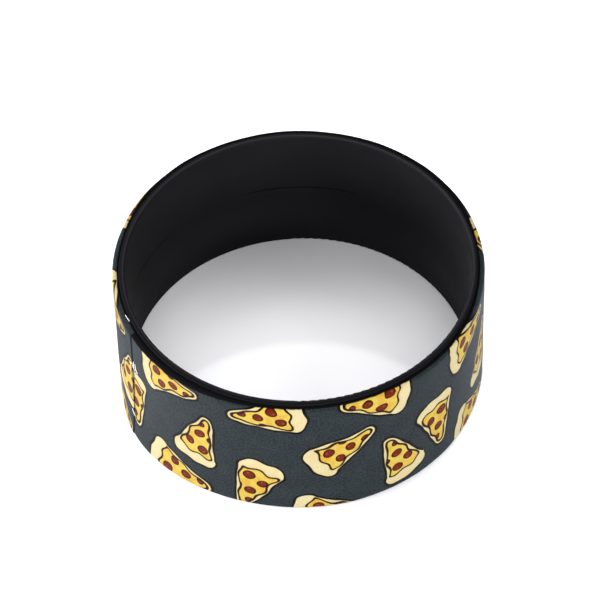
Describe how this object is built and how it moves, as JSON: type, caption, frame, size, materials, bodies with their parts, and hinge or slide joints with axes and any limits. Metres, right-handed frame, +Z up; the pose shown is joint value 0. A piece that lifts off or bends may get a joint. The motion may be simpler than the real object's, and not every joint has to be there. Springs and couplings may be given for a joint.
{
  "type": "rubber bracelet with a printed cover",
  "caption": "Wide closed stretch bracelet: a black rubber ring under a printed fabric cover with one lap seam. Slips over the hand onto the wrist.",
  "frame": {"origin": "centre of the lower edge that the band stands on", "axes": "+Z up along the band's own axis; the seam lies at 206.5 degrees anticlockwise from +X"},
  "size_m": [0.059, 0.059, 0.0254],
  "materials": {
    "rubber": "satin black rubber",
    "printed_fabric": "fine knit with a food print on a slate grey ground"
  },
  "bodies": {
    "root": {"inner_band": "rubber", "printed_cover": "printed_fabric"}
  },
  "joints": []
}
